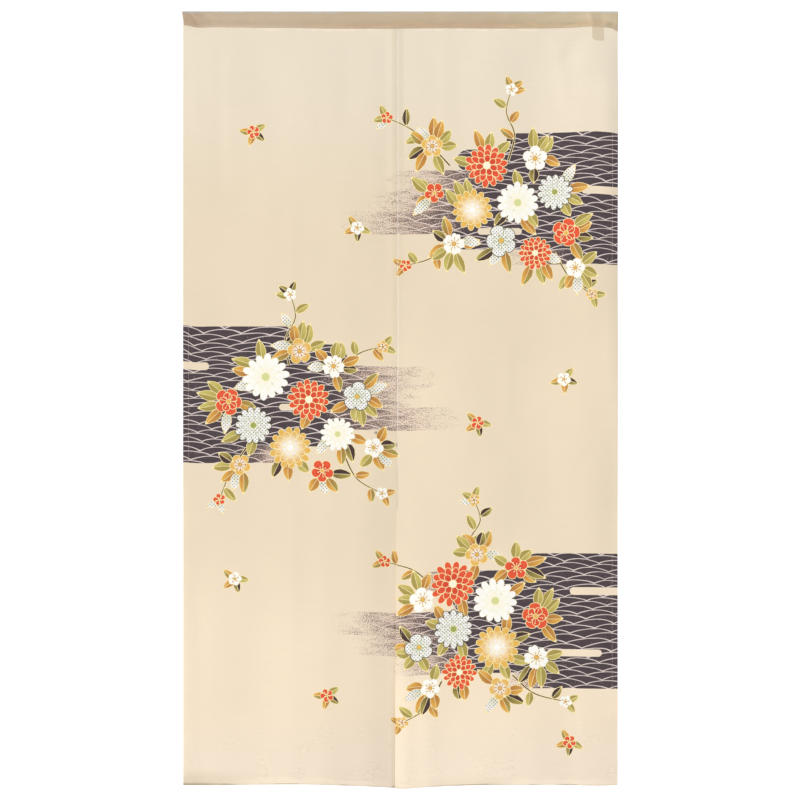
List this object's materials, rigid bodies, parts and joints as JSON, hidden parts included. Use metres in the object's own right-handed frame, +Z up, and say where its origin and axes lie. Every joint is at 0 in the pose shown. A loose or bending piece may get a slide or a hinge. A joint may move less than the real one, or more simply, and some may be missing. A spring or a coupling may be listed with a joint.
{
  "type": "noren curtain",
  "caption": "Split doorway curtain of thin printed cloth, with a long centre slit, hemmed edges and an open rod pocket along its top edge.",
  "frame": {"origin": "middle of the curtain's top edge, on top of the rod pocket", "axes": "+Z up, +X to the right as the front is seen, -Y out of the printed front"},
  "size_m": [0.8469, 0.0195, 1.5092],
  "materials": {
    "printed_cloth": "matt crepe weave, cream ground with a floral print",
    "pocket_cloth": "matt crepe weave, plain tan",
    "tab_tape": "plain smooth tape, folded once"
  },
  "bodies": {
    "root": {"left_panel": "printed_cloth", "right_panel": "printed_cloth", "rod_pocket": "pocket_cloth", "sewn_tab": "tab_tape"}
  },
  "joints": []
}
